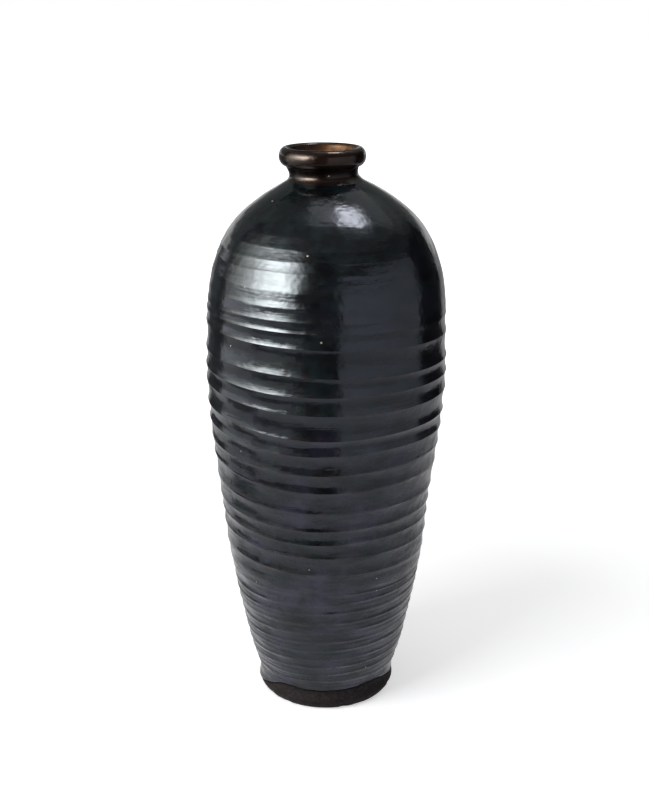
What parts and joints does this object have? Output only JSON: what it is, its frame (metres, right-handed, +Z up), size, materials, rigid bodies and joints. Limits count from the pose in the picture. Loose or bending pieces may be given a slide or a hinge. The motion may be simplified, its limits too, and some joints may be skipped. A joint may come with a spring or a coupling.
{
  "type": "bottle vase",
  "caption": "Tall ovoid stoneware bottle vase with a short neck and rolled lip, spiral throwing ridges, an open cavity and a turned foot; holds water and flower stems.",
  "frame": {"origin": "middle of the foot, on the surface that the vase stands on", "axes": "+Z up along the vase's axis; -Y is the front that the picture shows; +X is to the right seen from the front"},
  "size_m": [0.1694, 0.1694, 0.4],
  "materials": {
    "bare_foot_clay": "iron-washed unglazed stoneware, dull dark brown",
    "blue_black_glaze": "glossy blue-black iron glaze over throwing ridges",
    "brown_black_glaze": "glossy iron glaze that breaks to brown-black on the neck and lip"
  },
  "bodies": {
    "root": {"foot_base": "bare_foot_clay", "lower_body": "blue_black_glaze", "upper_body": "blue_black_glaze", "shoulder": "blue_black_glaze", "neck_collar": "brown_black_glaze", "rolled_lip": "brown_black_glaze"}
  },
  "joints": []
}
